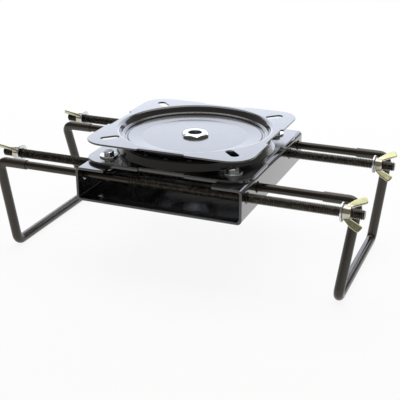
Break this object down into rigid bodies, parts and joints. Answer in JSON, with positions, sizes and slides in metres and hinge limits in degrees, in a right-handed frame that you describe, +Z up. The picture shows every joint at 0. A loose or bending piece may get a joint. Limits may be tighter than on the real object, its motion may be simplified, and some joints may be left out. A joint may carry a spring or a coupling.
{
  "type": "clamp-on swivel seat pedestal",
  "caption": "Folded steel channel with a ball-bearing swivel plate on top and two bent rod clamps with wing nuts that grip a bench beneath it.",
  "frame": {"origin": "Under the middle of the object, on the surface that its two clamp crossbars stand on.", "axes": "+Z up, along the swivel's axis. X runs along the clamp rods, with the picture's near right end at +X. +Y points to the back of the seat."},
  "size_m": [0.3882, 0.192, 0.1299],
  "materials": {
    "black_enamel": "gloss stove enamel",
    "black_rod": "satin black coating",
    "vinyl": "smooth vinyl",
    "zinc_plate": "blue-white zinc plate",
    "yellow_zinc": "pale yellow zinc plate",
    "ball_steel": "polished",
    "nylon": "natural nylon"
  },
  "bodies": {
    "bracket": {"bracket_channel": "black_enamel", "base_swivel_plate": "black_enamel", "thrust_washer": "nylon", "pivot_bolt": "zinc_plate", "pivot_nut": "zinc_plate", "mounting_bolts": "zinc_plate", "mounting_washers": "zinc_plate", "under_washers": "zinc_plate", "mounting_nuts": "zinc_plate"},
    "ball_ring": {"bearing_balls": "ball_steel", "ball_cage": "nylon"},
    "seat_plate": {"seat_swivel_plate": "black_enamel"},
    "left_clamp": {"left_clamp_rod": "black_rod", "left_clamp_sleeve": "vinyl"},
    "right_clamp": {"right_clamp_rod": "black_rod", "right_clamp_sleeve": "vinyl"},
    "front_right_washer": {"washer_front_right": "zinc_plate"},
    "rear_right_washer": {"washer_rear_right": "zinc_plate"},
    "front_left_washer": {"washer_front_left": "zinc_plate"},
    "rear_left_washer": {"washer_rear_left": "zinc_plate"},
    "front_right_wing_nut": {"wing_nut_front_right": "yellow_zinc"},
    "rear_right_wing_nut": {"wing_nut_rear_right": "yellow_zinc"},
    "front_left_wing_nut": {"wing_nut_front_left": "yellow_zinc"},
    "rear_left_wing_nut": {"wing_nut_rear_left": "yellow_zinc"}
  },
  "joints": [
    {"name": "swivel_turn", "type": "hinge", "parent": "bracket", "child": "seat_plate", "pos_m": [0, 0, 0.12985], "axis": [0, 0, 1], "continuous": true},
    {"name": "ball_ring_turn", "type": "hinge", "parent": "bracket", "child": "ball_ring", "pos_m": [0, 0, 0.11797], "axis": [0, 0, 1], "continuous": true},
    {"name": "left_clamp_slide", "type": "slide", "parent": "bracket", "child": "left_clamp", "axis": [1, 0, 0], "range_m": [-0.085, 0.06]},
    {"name": "right_clamp_slide", "type": "slide", "parent": "bracket", "child": "right_clamp", "axis": [-1, 0, 0], "range_m": [-0.085, 0.06]},
    {"name": "front_right_washer_slide", "type": "slide", "parent": "left_clamp", "child": "front_right_washer", "axis": [-1, 0, 0], "range_m": [-0.01111, 0.08731]},
    {"name": "rear_right_washer_slide", "type": "slide", "parent": "left_clamp", "child": "rear_right_washer", "axis": [-1, 0, 0], "range_m": [-0.01111, 0.08731]},
    {"name": "front_left_washer_slide", "type": "slide", "parent": "right_clamp", "child": "front_left_washer", "axis": [1, 0, 0], "range_m": [-0.01111, 0.08731]},
    {"name": "rear_left_washer_slide", "type": "slide", "parent": "right_clamp", "child": "rear_left_washer", "axis": [1, 0, 0], "range_m": [-0.01111, 0.08731]},
    {"name": "front_right_wing_nut_turn", "type": "hinge", "parent": "front_right_washer", "child": "front_right_wing_nut", "pos_m": [0.17465, -0.08154, 0.09585], "axis": [-1, 0, 0], "range_deg": [-2520, 19800]},
    {"name": "rear_right_wing_nut_turn", "type": "hinge", "parent": "rear_right_washer", "child": "rear_right_wing_nut", "pos_m": [0.17465, 0.05204, 0.09585], "axis": [-1, 0, 0], "range_deg": [-2520, 19800]},
    {"name": "front_left_wing_nut_turn", "type": "hinge", "parent": "front_left_washer", "child": "front_left_wing_nut", "pos_m": [-0.17465, -0.05204, 0.09585], "axis": [1, 0, 0], "range_deg": [-2520, 19800]},
    {"name": "rear_left_wing_nut_turn", "type": "hinge", "parent": "rear_left_washer", "child": "rear_left_wing_nut", "pos_m": [-0.17465, 0.08154, 0.09585], "axis": [1, 0, 0], "range_deg": [-2520, 19800]}
  ],
  "couplings": [
    {"joint": "ball_ring_turn", "follows": "swivel_turn", "ratio": 0.5},
    {"joint": "front_right_washer_slide", "follows": "front_right_wing_nut_turn", "m_per_rad": 0.00025266},
    {"joint": "rear_right_washer_slide", "follows": "rear_right_wing_nut_turn", "m_per_rad": 0.00025266},
    {"joint": "front_left_washer_slide", "follows": "front_left_wing_nut_turn", "m_per_rad": 0.00025266},
    {"joint": "rear_left_washer_slide", "follows": "rear_left_wing_nut_turn", "m_per_rad": 0.00025266}
  ]
}
